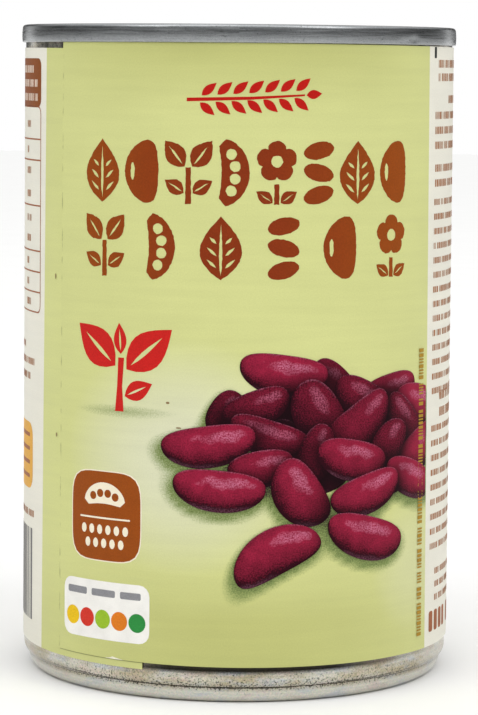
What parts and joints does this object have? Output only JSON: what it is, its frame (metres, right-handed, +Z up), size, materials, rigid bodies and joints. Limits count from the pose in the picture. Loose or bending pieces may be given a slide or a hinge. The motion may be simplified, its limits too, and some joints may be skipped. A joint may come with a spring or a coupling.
{
  "type": "canned beans",
  "caption": "Shut food can of red kidney beans with a wrapped paper label, a seamed top end with a ring-pull, and a rounded foot.",
  "frame": {"origin": "centre of the circle that the can stands on", "axes": "+Z up along the can's axis; the front of the label faces -Y; +X is on the right seen from the front"},
  "size_m": [0.0762, 0.0762, 0.1127],
  "materials": {
    "tinplate": "drawn tinplate, satin, with dull stains",
    "end_steel": "rolled tinplate, satin",
    "label_paper": "printed paper, semi-matt",
    "tab_steel": "stamped steel, bright"
  },
  "bodies": {
    "root": {"can_body": "tinplate", "top_end": "end_steel", "label": "label_paper", "pull_tab": "tab_steel", "tab_rivet": "tab_steel"}
  },
  "joints": []
}
